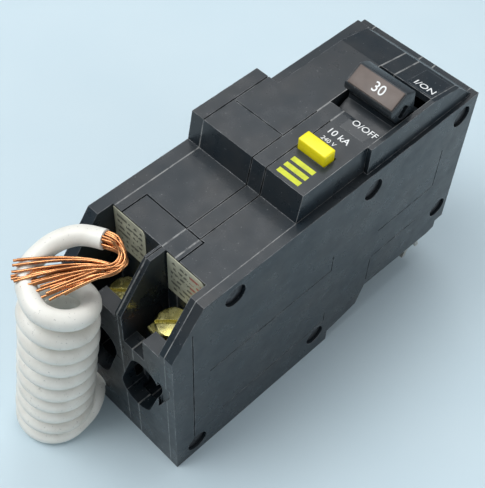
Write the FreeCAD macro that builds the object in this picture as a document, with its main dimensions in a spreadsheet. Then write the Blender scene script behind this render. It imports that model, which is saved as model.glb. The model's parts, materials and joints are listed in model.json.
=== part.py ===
import FreeCAD, Part
import math
import os
import re
import Sketcher

from FreeCAD import Placement, Rotation, Vector

# Two-pole ground-fault circuit breaker with a coiled neutral pigtail.
#
# While modelling, X runs from the load end (0) to the line end, Y from the near side (0) to the
# far side and Z up from the mounting face.  Every finished piece then moves by one Placement,
# so that the origin of the part is the middle of its base.  Lengths are millimetres.

# --------------------------------------------------------------------------- driving dimensions
DIMENSIONS = [
    # moulded case
    ("case_length", 104.0, "load end to line end"),
    ("case_width", 38.1, "two poles of 19.05"),
    ("shoulder_top", 63.7, "top of the body beside the raised block"),
    ("block_top", 72.0, "top of the raised block"),
    ("load_face_top", 51.4, "top of the upright load-end face"),
    ("load_slant_run", 9.5, "length of the slanted load corner"),
    ("block_foot_x", 39.9, "load side of the raised block at its foot"),
    ("block_draft", 1.5, "lean of the block's load side"),
    ("block_end_x", 62.7, "where the block narrows towards the line end"),
    ("crest_end_x", 85.4, "where the top starts to fall"),
    ("fall_run", 10.2, "length of the gentle fall"),
    ("fall_drop", 2.0, "drop of the gentle fall"),
    ("crown_foot_x", 102.5, "foot of the slope at the line end"),
    ("far_shoulder_rise", 1.5, "far shoulder above the near one"),
    ("plateau_far_y", 31.0, "far edge of the raised top at the line end"),
    ("rim_near_y", 1.2, "near face of the rim beside the handle"),
    ("wall", 2.0, "moulded wall"),
    ("skin", 1.1, "near side of the raised block"),
    ("near_cover", 2.5, "thickness of the near side cover"),
    ("near_seam", 13.9, "joint between near case and pole divider"),
    ("pole_seam", 18.2, "joint between pole divider and far case"),
    ("far_seam", 34.2, "joint between far case and far cover"),
    ("divider_web", 2.2, "web of the pole divider"),
    ("heel_x", 56.0, "end of the flat mounting face"),
    ("heel_rise", 4.2, "step behind the mounting face"),
    ("toe_x", 61.4, "load side of the toe"),
    ("toe_width", 6.1, "length of the toe"),
    ("toe_z", 6.2, "underside of the toe"),
    ("arch_z", 12.8, "underside behind the toe"),
    ("tail_z", 11.6, "underside near the line end"),
    ("tail_width", 3.2, "step at the line end"),
    ("tail_rise", 3.4, "step at the line end"),
    ("seam_width", 0.36, "moulded seam lines"),
    ("seam_depth", 0.4, "moulded seam lines"),
    # load terminals
    ("wire_wall", 4.0, "wall in front of a terminal"),
    ("recess_end_x", 14.0, "end wall of the terminal recesses"),
    ("recess_near_low", 4.1, "near recess, outer side"),
    ("recess_near_high", 16.9, "near recess, partition side"),
    ("recess_far_low", 18.9, "far recess, partition side"),
    ("recess_far_high", 34.8, "far recess, outer side"),
    ("sill_z", 49.6, "top of the wall in front of a terminal"),
    ("notch_z", 41.5, "bottom of the wire notch"),
    ("chamber_floor", 14.0, "floor of a terminal chamber"),
    ("insert_x", 21.5, "line side of the terminal insert"),
    ("insert_near_y", 12.5, "near side of the terminal insert"),
    ("insert_far_y", 31.8, "far side of the terminal insert"),
    ("insert_height", 11.7, "terminal insert"),
    ("near_screw_y", 9.8, "near terminal screw axis"),
    ("far_screw_y", 26.8, "far terminal screw axis"),
    ("screw_x", 9.2, "terminal screw axis"),
    ("screw_radius", 2.4, "thread of a terminal screw"),
    ("screw_length", 16.0, "terminal screw under its head"),
    ("head_radius", 4.3, "head of a terminal screw"),
    ("head_thick", 2.3, "head of a terminal screw"),
    ("driver_width", 1.1, "driver slot"),
    ("driver_depth", 1.2, "driver slot"),
    ("driver_turn", 45.0, "driver slot from the X axis, clockwise from above"),
    ("strap_bottom", 36.5, "underside of a load strap"),
    ("strap_thick", 1.5, "load strap"),
    ("strap_width", 8.0, "load strap"),
    ("strap_end_x", 38.0, "line end of a load strap"),
    ("near_wire_space", 6.0, "near strap to its pressure plate, screw backed out"),
    ("far_wire_space", 0.5, "far strap to its pressure plate, screw driven in"),
    ("facet_depth", 0.9, "shallow facet beside the near wire entry"),
    ("clamp_thick", 1.6, "pressure plate"),
    ("clamp_reach", 4.2, "pressure plate each side of its screw"),
    ("entry_radius", 5.3, "ends of a wire entry"),
    ("entry_high_y", 10.3, "upper end of the near wire entry"),
    ("entry_high_z", 32.6, "upper end of a wire entry"),
    ("entry_low_y", 14.2, "lower end of the near wire entry"),
    ("entry_low_z", 20.6, "lower end of a wire entry"),
    ("entry_pitch", 15.4, "near wire entry to the far one"),
    ("label_thick", 0.2, "terminal labels"),
    # handle
    ("pivot_x", 76.5, "handle axis"),
    ("pivot_z", 58.0, "handle axis"),
    ("slot_start_x", 67.4, "load end of the handle slot"),
    ("slot_end_x", 85.6, "line end of the handle slot"),
    ("handle_gap", 0.7, "handle to each side of its slot"),
    ("drum_radius", 12.6, "curved shutter under the handle"),
    ("drum_wall", 1.6, "curved shutter under the handle"),
    ("drum_room", 0.8, "free space around the shutter"),
    ("shutter_angle", 104.0, "arc of the shutter"),
    ("hub_radius", 3.2, "handle hub"),
    ("paddle_height", 9.1, "handle above the shutter"),
    ("pin_radius", 1.5, "handle pin"),
    ("arm_pin_radius", 1.0, "arm, cradle and trip pins"),
    ("pin_cap", 1.2, "cover left behind the end of a pin"),
    ("running_fit", 0.05, "radial clearance of every shaft"),
    ("blind_radius", 1.15, "blind hole in the handle's near end"),
    ("blind_depth", 8.0, "blind hole in the handle's near end"),
    ("plate_thick", 0.4, "rating plate on the handle"),
    ("plate_margin", 0.8, "rating plate to the handle's ends"),
    # test button
    ("button_x", 51.0, "load side of the test button"),
    ("button_length", 3.6, "test button"),
    ("button_y", 5.2, "near side of the test button"),
    ("button_width", 8.4, "test button"),
    ("button_height", 3.0, "test button above the block"),
    ("button_gap", 0.2, "test button to its hole"),
    ("button_flange", 1.4, "flange that keeps the button in"),
    ("button_spring", 6.0, "spring under the button"),
    # mechanism
    ("near_pole_y", 9.3, "middle of the near pole"),
    ("far_pole_y", 27.2, "middle of the far pole"),
    ("arm_x", 77.5, "moving arm axis"),
    ("arm_z", 50.0, "moving arm axis"),
    ("arm_reach", 22.5, "moving arm below its axis"),
    ("arm_width", 6.0, "moving arms"),
    ("contact_drop", 19.0, "contacts below the arm axis"),
    ("contact_radius", 2.0, "contacts"),
    ("contact_gap", 3.9, "open contacts"),
    ("contact_face_x", 85.4, "face of a fixed contact"),
    ("cradle_x", 56.0, "cradle axis"),
    ("cradle_z", 54.0, "cradle axis"),
    ("cradle_width", 4.0, "cradle"),
    ("trip_x", 50.0, "trip bar axis"),
    ("trip_z", 30.0, "trip bar axis"),
    ("trip_radius", 1.6, "trip bar"),
    ("paddle_width", 5.0, "paddles of the trip bar"),
    ("chute_x", 70.0, "load end of the arc plates"),
    ("chute_z", 17.5, "lowest arc plate"),
    ("chute_pitch", 3.0, "arc plates"),
    # line jaws
    ("jaw_from_end", 10.0, "line end to the middle of the line jaws"),
    ("jaw_bottom", 5.0, "tips of the line jaws"),
    ("jaw_throat", 10.5, "height of the jaws' narrowest gap"),
    ("jaw_top", 24.0, "underside of a line strap"),
    ("jaw_thick", 1.2, "line jaw and strap sheet"),
    ("jaw_gap", 1.4, "slot that takes the bus stab"),
    ("jaw_flare", 3.75, "half spread of the jaw tips"),
    ("jaw_width", 11.0, "line jaws inside the case"),
    ("jaw_room", 0.4, "line jaws to each end of their slots"),
    ("lip_width", 15.4, "flared lips of a line jaw"),
    ("far_jaw_y", 28.8, "middle of the far line jaw"),
    ("rib_x", 84.0, "rib under the line straps"),
    ("rib_length", 6.0, "rib under the line straps"),
    # rivets, rail pocket
    ("rivet_radius", 1.6, "through rivets"),
    ("rivet_head", 2.8, "through rivets"),
    ("head_height", 0.9, "rivet heads"),
    ("sink_radius", 3.1, "counterbore over a rivet head"),
    ("sink_depth", 1.7, "counterbore over a rivet head"),
    ("boss_radius", 3.4, "posts that the rivets pass through"),
    ("rail_x", 22.0, "rail pocket"),
    ("rail_width", 6.0, "rail pocket"),
    ("rail_depth", 5.5, "rail pocket"),
    ("rail_undercut", 2.4, "undercut of the rail pocket"),
    ("rail_lip", 2.6, "lip under the undercut"),
    ("rail_near_y", 6.0, "near end of the rail pocket"),
    ("rail_far_y", 32.0, "far end of the rail pocket"),
    # electronics
    ("board_thick", 1.6, "circuit board"),
    ("board_x", 26.0, "load edge of the circuit board"),
    ("board_length", 44.0, "circuit board"),
    ("board_bottom", 15.5, "lower edge of the circuit board"),
    ("board_height", 38.0, "circuit board"),
    ("coil_x", 53.0, "load end of the solenoid"),
    ("coil_length", 14.0, "solenoid winding"),
    ("coil_z", 21.5, "solenoid axis"),
    ("coil_radius", 4.4, "solenoid winding"),
    ("plunger_radius", 1.5, "solenoid plunger"),
    ("sensor_x", 61.0, "sensing transformer axis"),
    ("sensor_z", 41.0, "sensing transformer axis"),
    ("sensor_radius", 8.0, "sensing transformer"),
    ("sensor_bore", 4.0, "sensing transformer"),
    ("sensor_width", 7.0, "sensing transformer"),
    # pigtail
    ("wire_radius", 2.5, "insulated pigtail"),
    ("gland_y", 30.2, "pigtail outlet"),
    ("gland_z", 7.2, "pigtail outlet"),
    ("gland_depth", 3.2, "pigtail inside the case"),
    ("turn_radius", 7.5, "middle of the coil's turns at its base"),
    ("top_turn_radius", 6.4, "middle of the coil's turns at its top"),
    ("coil_height", 60.3, "coil standing on its end"),
    ("coil_lean_x", 3.93, "lean of the coil"),
    ("coil_lean_y", -8.39, "lean of the coil"),
    ("coil_base_x", -12.75, "middle of the coil at its base"),
    ("coil_base_y", 34.1, "middle of the coil at its base"),
    ("strand_radius", 0.32, "bare copper strands"),
]

doc = FreeCAD.newDocument("gfci_breaker")
sheet = doc.addObject("Spreadsheet::Sheet", "Dims")
for row, (alias, value, meaning) in enumerate(DIMENSIONS, start=1):
    sheet.set(f"A{row}", meaning)
    sheet.set(f"B{row}", str(value))
    sheet.setAlias(f"B{row}", alias)
doc.recompute()
ALIASES = {alias for alias, _, _ in DIMENSIONS}
nodes = {}


def bind(text):
    """Point every named size in an expression at its spreadsheet cell."""
    return re.sub(r"[a-z_]\w*", lambda m: "Dims." + m[0] if m[0] in ALIASES else m[0], str(text))


def value(text):
    """The present value of an expression of named sizes."""
    return float(sheet.evalExpression(str(text)))


# --------------------------------------------------------------------------- building blocks
def place(item, x="0", y="0", z="0"):
    for axis, text in zip("xyz", (x, y, z)):
        item.setExpression("Placement.Base." + axis, bind(text))


def box(name, x, y, z):
    """A block between a (low, high) pair of expressions along each axis."""
    item = doc.addObject("Part::Box", name)
    for side, (low, high) in zip(("Length", "Width", "Height"), (x, y, z)):
        item.setExpression(side, bind(f"({high}) - ({low})"))
    place(item, x[0], y[0], z[0])
    return item


TURNS = {
    "X": Rotation(Vector(0, 1, 0), 90),
    "Y": Rotation(Vector(1, 0, 0), -90),
    "Z": Rotation(),
}


def rod(name, axis, radius, span, x="0", y="0", z="0"):
    """A cylinder along an axis over the (low, high) span, through the other two coordinates."""
    item = doc.addObject("Part::Cylinder", name)
    item.Placement = Placement(Vector(), TURNS[axis])
    item.setExpression("Radius", bind(radius))
    item.setExpression("Height", bind(f"({span[1]}) - ({span[0]})"))
    start = {"X": (span[0], y, z), "Y": (x, span[0], z), "Z": (x, y, span[0])}[axis]
    place(item, *start)
    return item


PLANES = {
    # plane: turn of the sketch, direction of the extrusion
    "XZ": (Rotation(Vector(1, 0, 0), 90), Vector(0, 1, 0)),
    "YZ": (Rotation(Vector(1, 1, 1), 120), Vector(1, 0, 0)),
    "XY": (Rotation(), Vector(0, 0, 1)),
}


def outline(sketch, corners):
    """Straight sides in a sketch, with each corner held by two bound distances."""
    points = [Vector(value(across), value(up), 0) for across, up in corners]
    count = len(points)
    for index in range(count):
        sketch.addGeometry(Part.LineSegment(points[index], points[(index + 1) % count]), False)
    for index in range(count):
        sketch.addConstraint(Sketcher.Constraint("Coincident", index, 2, (index + 1) % count, 1))
    for index, (across, up) in enumerate(corners):
        for kind, text, start in (("DistanceX", across, points[index].x),
                                  ("DistanceY", up, points[index].y)):
            number = sketch.addConstraint(Sketcher.Constraint(kind, -1, 1, index, 1, start))
            sketch.setExpression(f"Constraints[{number}]", bind(text))


def prism(name, plane, corners, span):
    """An outline extruded square to its plane over the (low, high) span."""
    sketch = doc.addObject("Sketcher::SketchObject", name + "_outline")
    sketch.Placement = Placement(Vector(), PLANES[plane][0])
    outline(sketch, corners)
    item = doc.addObject("Part::Extrusion", name)
    item.Base = sketch
    item.DirMode = "Custom"
    item.Dir = PLANES[plane][1]
    item.Solid = True
    item.setExpression("LengthFwd", bind(f"({span[1]}) - ({span[0]})"))
    place(item, **{{"XZ": "y", "YZ": "x", "XY": "z"}[plane]: span[0]})
    return item


def fuse(name, items):
    item = doc.addObject("Part::MultiFuse", name)
    item.Shapes = items
    item.Refine = True
    return item


def cut(name, base, tools):
    item = doc.addObject("Part::Cut", name)
    item.Base = base
    item.Tool = tools[0] if len(tools) == 1 else fuse(name + "_tools", tools)
    item.Refine = True
    return item


def turned(name, corners, x="0", y="0", z="0", turn=Rotation()):
    """A PartDesign body revolved about its own upright axis, from (radius, height) corners."""
    body = doc.addObject("PartDesign::Body", name)
    sketch = body.newObject("Sketcher::SketchObject", name + "_section")
    planes = {item.Role: item for item in body.Origin.OriginFeatures}
    sketch.AttachmentSupport = [(planes["XZ_Plane"], "")]
    sketch.MapMode = "FlatFace"
    outline(sketch, corners)
    revolution = body.newObject("PartDesign::Revolution", name + "_turned")
    revolution.Profile = sketch
    revolution.ReferenceAxis = (sketch, ["V_Axis"])
    revolution.Angle = 360
    body.Placement = Placement(Vector(), turn)
    place(body, x, y, z)
    return body


def piece(name, *solids):
    """A finished sub-component, moved so that the part's origin is the middle of its base."""
    item = doc.addObject("Part::Compound", name)
    item.Links = list(solids)
    item.Label = name
    place(item, x="-case_length / 2", y="-case_width / 2")
    nodes[name] = item


# --------------------------------------------------------------------------- shared outlines
UNDERSIDE = [
    ("0", "0"),
    ("heel_x", "0"),
    ("heel_x", "heel_rise"),
    ("toe_x", "heel_rise + 0.8"),
    ("toe_x + toe_width", "toe_z"),
    ("toe_x + toe_width + 2.6", "arch_z"),
    ("case_length - 2 * tail_width", "tail_z"),
    ("case_length - tail_width", "tail_z + 0.6"),
    ("case_length - tail_width", "tail_z + tail_rise"),
    ("case_length", "tail_z + tail_rise"),
]
LOAD_CORNER = [("load_slant_run", "shoulder_top"), ("0", "load_face_top")]
CROWN = [
    ("crown_foot_x", "shoulder_top"),
    ("crest_end_x + fall_run", "block_top - fall_drop"),
    ("crest_end_x", "block_top"),
    ("block_foot_x + block_draft", "block_top"),
    ("block_foot_x", "shoulder_top"),
]
LOW_BODY = UNDERSIDE + [("case_length", "shoulder_top")] + LOAD_CORNER
FULL_BODY = UNDERSIDE + [("case_length", "shoulder_top")] + CROWN + LOAD_CORNER
ROOM_FLOOR = [
    ("wall", "wall"),
    ("heel_x - wall", "wall"),
    ("heel_x - wall", "heel_rise + wall"),
    ("toe_x + toe_width - wall", "toe_z + wall"),
    ("toe_x + toe_width + wall", "arch_z + wall"),
    ("case_length - wall", "tail_z + tail_rise + wall"),
    ("case_length - wall", "shoulder_top - wall"),
]
ROOM_CROWN = [
    ("crest_end_x + fall_run - wall / 2", "block_top - fall_drop - wall"),
    ("crest_end_x", "block_top - wall"),
    ("block_foot_x + block_draft + wall", "block_top - wall"),
    ("block_foot_x + wall", "shoulder_top - wall"),
]
ROOM_LOAD = [
    ("recess_end_x + wall", "shoulder_top - wall"),
    ("recess_end_x + wall", "chamber_floor - wall"),
    ("wall", "chamber_floor - wall"),
]
LOW_ROOM = ROOM_FLOOR + ROOM_LOAD
FULL_ROOM = ROOM_FLOOR + ROOM_CROWN + ROOM_LOAD
RIVETS = [
    ("18.9", "59"),
    ("7", "5.2"),
    ("50.5", "8"),
    ("pivot_x - 11.6", "pivot_z - 0.5"),
    ("case_length - 5.5", "shoulder_top - 4.7"),
    ("case_length - 4.4", "tail_z + 10.4"),
]
ACROSS = ("0", "case_width")
ABOVE = "block_top + 5"
NEAR_ROOM = ("near_cover", "pole_seam - divider_web")
FAR_ROOM = ("pole_seam + wall", "case_width - wall")
SCREWS = {"near": "near_screw_y", "far": "far_screw_y"}
POLES = {"near": "near_pole_y", "far": "far_pole_y"}
JAWS = {"near": "near_pole_y", "far": "far_jaw_y"}
JAW_X = "case_length - jaw_from_end"
ROOMS = {"near": NEAR_ROOM, "far": FAR_ROOM}

# --------------------------------------------------------------------------- tools for the case
posts = [rod(f"post_{n}", "Y", "boss_radius", ACROSS, x=x, z=z) for n, (x, z) in enumerate(RIVETS)]
holes = [rod(f"hole_{n}", "Y", "rivet_radius", ACROSS, x=x, z=z) for n, (x, z) in enumerate(RIVETS)]
sinks = [rod(f"sink_{n}", "Y", "sink_radius", ("0", "sink_depth"), x=x, z=z)
         for n, (x, z) in enumerate(RIVETS)]
line_rib = box("line_rib", ("rib_x", "rib_x + rib_length"), ACROSS, ("tail_z", "jaw_top"))
rail_block = box("rail_block", ("rail_x - wall - rail_undercut", "rail_x + rail_width + wall"),
                 ACROSS, ("0", "rail_depth + wall"))
stays = [
    box("heel_stay", ("49.7", "51.2"), ACROSS, ("0", "8")),
    box("top_stay", ("pivot_x - 15", "pivot_x - 13.6"), ACROSS, ("pivot_z", "block_top")),
    box("line_stay", ("case_length - 5.5", "case_length - 1"), ACROSS,
        ("shoulder_top - 5.5", "shoulder_top - 4")),
]
kept = fuse("kept_inside", posts + stays + [line_rib, rail_block])
block_skin = box("block_skin", ("block_foot_x", "block_end_x"),
                 ("near_cover", "near_cover + skin"), ("shoulder_top - wall", "block_top"))

rail_pocket = fuse("rail_pocket", [
    box("rail_mouth", ("rail_x", "rail_x + rail_width"), ("rail_near_y", "rail_far_y"),
        ("0", "rail_depth")),
    box("rail_hook", ("rail_x - rail_undercut", "rail_x + wall"), ("rail_near_y", "rail_far_y"),
        ("rail_lip", "rail_depth")),
])


def recess(side, low, high, notch_low, notch_high):
    """One open-topped load terminal: chamber, mouth above the sill and wire notch."""
    return fuse(side + "_recess", [
        box(side + "_chamber", ("wire_wall", "recess_end_x"), (low, high),
            ("chamber_floor", ABOVE)),
        box(side + "_mouth", ("-wall", "recess_end_x"), (low, high), ("sill_z", ABOVE)),
        box(side + "_notch", ("-wall", "wire_wall + wall"), (notch_low, notch_high),
            ("notch_z", ABOVE)),
    ])


ENTRY_LEAN = "sqrt((entry_low_y - entry_high_y)^2 + (entry_high_z - entry_low_z)^2)"
ENTRY_SIDE_Y = f"entry_radius * (entry_high_z - entry_low_z) / {ENTRY_LEAN}"
ENTRY_SIDE_Z = f"entry_radius * (entry_low_y - entry_high_y) / {ENTRY_LEAN}"


def wire_entry(side, shift):
    """A leaning slot with round ends through the load face."""
    ends = [("entry_high_y", "entry_high_z"), ("entry_low_y", "entry_low_z")]
    span = ("-wall", "wire_wall + wall")
    corners = [(f"{y} + {shift} + {sign} * {ENTRY_SIDE_Y}", f"{z} + {sign} * {ENTRY_SIDE_Z}")
               for (y, z), sign in zip(ends + ends[::-1], (1, 1, -1, -1))]
    rounds = [rod(f"{side}_entry_{n}", "X", "entry_radius", span, y=f"{y} + {shift}", z=z)
              for n, (y, z) in enumerate(ends)]
    return fuse(side + "_entry", rounds + [prism(side + "_entry_middle", "YZ", corners, span)])


terminals = [
    recess("near", "recess_near_low", "recess_near_high", "near_screw_y", "recess_near_high"),
    recess("far", "recess_far_low", "recess_far_high", "far_screw_y", "recess_far_high"),
    wire_entry("near", "0"),
    wire_entry("far", "entry_pitch"),
]
facet = prism("entry_facet", "YZ", [("0.7", "38.3"), ("5.7", "37.2"), ("5.7", "25.4"), ("1.5", "34.6")],
              ("-wall", "facet_depth"))
insert_pocket = box("insert_pocket", ("recess_end_x", "insert_x"),
                    ("insert_near_y", "insert_far_y"), ("shoulder_top - insert_height", ABOVE))
strap_slots = [
    box(side + "_strap_slot", ("recess_end_x", "recess_end_x + wall"),
        (f"{y} - strap_width / 2", f"{y} + strap_width / 2"),
        ("strap_bottom", "strap_bottom + strap_thick"))
    for side, y in SCREWS.items()
]
handle_slot = box("handle_slot", ("slot_start_x", "slot_end_x"), ("near_cover", "pole_seam"),
                  ("pivot_z", ABOVE))
handle_room = cut("handle_room", rod("handle_sweep", "Y", "drum_radius + drum_room",
                                     ("near_cover", "pole_seam"), x="pivot_x", z="pivot_z"),
                  [kept])
button_hole = box("button_hole", ("button_x - button_gap", "button_x + button_length + button_gap"),
                  ("button_y - button_gap", "near_seam"), ("block_top - 2 * wall", ABOVE))
jaw_slots = [
    box(side + "_jaw_slot", (JAW_X + " - jaw_flare", JAW_X + " + jaw_flare"),
        (f"{y} - jaw_width / 2 - jaw_room", f"{y} + jaw_width / 2 + jaw_room"),
        ("0", "tail_z + tail_rise + 2 * wall"))
    for side, y in JAWS.items()
]
gland_hole = rod("gland_hole", "X", "wire_radius + running_fit", ("-wall", "2 * wall"),
                 y="gland_y", z="gland_z")
pins = [
    rod("handle_pin_hole", "Y", "pin_radius", ("pin_cap", "pole_seam + wall"),
        x="pivot_x", z="pivot_z"),
    rod("arm_pin_hole", "Y", "arm_pin_radius", ("pin_cap", "case_width - pin_cap"),
        x="arm_x", z="arm_z"),
    rod("cradle_pin_hole", "Y", "arm_pin_radius", ("pin_cap", "pole_seam + wall"),
        x="cradle_x", z="cradle_z"),
    rod("trip_bar_hole", "Y", "trip_radius + running_fit", ("pin_cap", "case_width - pin_cap"),
        x="trip_x", z="trip_z"),
]


def seam(name, y, corners):
    """A shallow groove across the top where two mouldings meet."""
    lowered = [(f"{x} + ({side}) * seam_depth", f"{z} - seam_depth") for x, z, side in corners]
    band = [(f"{x} - ({side}) * seam_depth", f"{z} + seam_depth") for x, z, side in corners]
    return prism(name, "XZ", band + lowered[::-1], (f"{y} - seam_width / 2", f"{y} + seam_width / 2"))


TOP_CHAIN = [
    ("load_slant_run", "shoulder_top", "0"),
    ("block_foot_x", "shoulder_top", "1"),
    ("block_foot_x + block_draft", "block_top", "1"),
    ("block_end_x", "block_top", "0"),
]
seams = [
    seam("seam_near", "near_seam", TOP_CHAIN),
    seam("seam_pole", "pole_seam", TOP_CHAIN),
    seam("seam_far", "far_seam", TOP_CHAIN[2:]),
    box("seam_across", ("button_x", "button_x + seam_width"), ("pole_seam", "far_seam - 0.7"),
        ("block_top - seam_depth", ABOVE)),
    box("seam_step", ("block_end_x", "block_end_x + seam_width"),
        ("plateau_far_y", "far_seam"), ("block_top - seam_depth", ABOVE)),
]
SIDE_LINES = [
    # x low, x high, z low, z high
    ("6", "6 + seam_width", "6", "56.5"),
    ("11.4", "53", "35.4", "35.4 + seam_width"),
    ("53", "53 + seam_width", "35.4", "41.6"),
    ("15.9", "53.2", "12", "12 + seam_width"),
    ("53.2", "53.2 + seam_width", "12", "16.3"),
    ("71", "93.2", "36", "36 + seam_width"),
    ("93.2", "93.2 + seam_width", "36", "50.4"),
    ("70", "89.3", "25.4", "25.4 + seam_width"),
    ("70", "70 + seam_width", "15.2", "25.4"),
]
side_lines = [box(f"side_line_{n}", (x0, x1), ("0", "seam_depth"), (z0, z1))
              for n, (x0, x1, z0, z1) in enumerate(SIDE_LINES)]

# --------------------------------------------------------------------------- moulded case
def room(name, corners, span, *standing):
    """The hollow of one moulding, with the rivet posts, ribs and other walls left standing."""
    return cut(name, prism(name + "_hollow", "XZ", corners, span), [kept, *standing])


near_span = ("0", "near_cover")
rim = prism("rim", "XZ",
            [("block_end_x", "shoulder_top - wall"), ("crown_foot_x", "shoulder_top - wall")]
            + CROWN[:3] + [("block_end_x", "block_top")], ("rim_near_y", "near_cover"))
piece("near_side_cover", cut(
    "near_cover_cut",
    fuse("near_cover_body", [prism("near_plate", "XZ", LOW_BODY, near_span), rim]),
    holes + sinks + side_lines + pins + [facet]))

near_case_span = ("near_cover", "near_seam")
piece("near_case", cut(
    "near_case_cut", prism("near_case_body", "XZ", FULL_BODY, near_case_span),
    [room("near_case_room", FULL_ROOM, near_case_span, block_skin), handle_slot, button_hole, insert_pocket,
     rail_pocket, jaw_slots[0], strap_slots[0], facet, *holes, *seams[:2], *terminals]))

divider_room = room("divider_room", FULL_ROOM, ("near_seam", NEAR_ROOM[1]))
piece("pole_divider", cut(
    "divider_cut", prism("divider_body", "XZ", FULL_BODY, ("near_seam", "pole_seam")),
    [divider_room, handle_room, handle_slot, insert_pocket, rail_pocket, jaw_slots[0],
     *pins, *holes, *seams[:2], *terminals]))

far_step = box("far_step", ("block_end_x", "case_length + wall"), ("plateau_far_y", "case_width"),
               ("shoulder_top + far_shoulder_rise", ABOVE))
far_keep = box("far_keep", ("block_end_x - wall", "case_length"),
               ("plateau_far_y - wall", "case_width"), ("shoulder_top + far_shoulder_rise - wall", ABOVE))
far_hollow = room("far_case_room", FULL_ROOM, ("pole_seam + wall", "far_seam"), far_keep)
piece("far_case", cut(
    "far_case_cut", prism("far_case_body", "XZ", FULL_BODY, ("pole_seam", "far_seam")),
    [far_hollow, far_step, insert_pocket, rail_pocket, jaw_slots[1], strap_slots[1], gland_hole,
     *pins, *holes, *seams[1:], *terminals]))

far_cover_span = ("far_seam", "case_width")
far_raised = [
    ("block_end_x", "shoulder_top - wall"),
    ("crown_foot_x", "shoulder_top - wall"),
    ("crown_foot_x - far_shoulder_rise", "shoulder_top + far_shoulder_rise"),
    ("block_end_x", "shoulder_top + far_shoulder_rise"),
    ("block_end_x", "block_top"),
    ("block_foot_x + block_draft", "block_top"),
    ("block_foot_x", "shoulder_top"),
    ("block_foot_x", "shoulder_top - wall"),
]
piece("far_side_cover", cut(
    "far_cover_cut",
    fuse("far_cover_body", [prism("far_plate", "XZ", LOW_BODY, far_cover_span),
                            prism("far_block", "XZ", far_raised, far_cover_span)]),
    [room("far_cover_room", LOW_ROOM, ("far_seam", FAR_ROOM[1])), jaw_slots[1],
     *pins, *holes, seams[2], terminals[1], terminals[3]]))

piece("terminal_insert", cut(
    "insert_cut",
    box("insert_block", ("recess_end_x", "insert_x - seam_width"),
        ("insert_near_y + seam_width", "insert_far_y - seam_width"),
        ("shoulder_top - insert_height", "shoulder_top")),
    holes[:1]))

rivets = []
for n, (x, z) in enumerate(RIVETS):
    rivets.append(fuse(f"rivet_{n}", [
        rod(f"rivet_{n}_shank", "Y", "rivet_radius", ("sink_depth", "case_width"), x=x, z=z),
        rod(f"rivet_{n}_head", "Y", "rivet_head", ("sink_depth - head_height", "sink_depth"),
            x=x, z=z),
    ]))
piece("case_rivets", *rivets)

# --------------------------------------------------------------------------- load terminals
SLOT_TURN = "driver_turn * 1deg"
for side, y in SCREWS.items():
    strap = box(side + "_strap_bar", ("wire_wall", "strap_end_x"),
                (f"{y} - strap_width / 2", f"{y} + strap_width / 2"),
                ("strap_bottom", "strap_bottom + strap_thick"))
    bore = rod(side + "_strap_bore", "Z", "screw_radius + running_fit",
               ("strap_bottom - wall", "strap_bottom + 2 * wall"), x="screw_x", y=y)
    piece(side + "_load_strap", cut(side + "_strap_cut", strap, [bore]))

    clamp_z = f"strap_bottom + strap_thick + {side}_wire_space"
    clamp = box(side + "_clamp_plate", ("screw_x - clamp_reach", "screw_x + clamp_reach"),
                (f"{y} - clamp_reach", f"{y} + clamp_reach"), (clamp_z, clamp_z + " + clamp_thick"))
    clamp_bore = rod(side + "_clamp_bore", "Z", "screw_radius + running_fit",
                     (clamp_z + " - wall", clamp_z + " + 2 * wall"), x="screw_x", y=y)
    piece(side + "_pressure_plate", cut(side + "_clamp_cut", clamp, [clamp_bore]))

    head = clamp_z + " + clamp_thick"
    screw = turned(side + "_screw_body", [
        ("0", "0"), ("screw_radius", "0"), ("screw_radius", "screw_length"),
        ("head_radius", "screw_length"), ("head_radius", "screw_length + head_thick - 0.4"),
        ("head_radius - 0.4", "screw_length + head_thick"), ("0", "screw_length + head_thick"),
    ], x="screw_x", y=y, z=head + " - screw_length")
    slot_corners = []
    for along, aside in ((-2, -1), (2, -1), (2, 1), (-2, 1)):
        reach, half_slot = f"{along} * head_radius", f"{aside} * driver_width / 2"
        slot_corners.append(
            (f"screw_x + {reach} * cos({SLOT_TURN}) + {half_slot} * sin({SLOT_TURN})",
             f"{y} - {reach} * sin({SLOT_TURN}) + {half_slot} * cos({SLOT_TURN})"))
    slot = prism(side + "_driver_slot", "XY", slot_corners,
                 (head + " + head_thick - driver_depth", ABOVE))
    piece(side + "_terminal_screw", cut(side + "_screw_cut", screw, [slot]))

piece("near_terminal_label", box(
    "near_label_sheet", ("recess_end_x - label_thick", "recess_end_x"),
    ("recess_near_low + 0.4", "recess_near_high - 0.4"), ("sill_z + 0.2", "shoulder_top - 0.6")))
piece("far_terminal_label", box(
    "far_label_sheet", ("recess_end_x - label_thick", "recess_end_x"),
    ("recess_far_low + 4.9", "recess_far_high - 0.2"), ("sill_z + 0.2", "shoulder_top - 0.6")))

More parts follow.
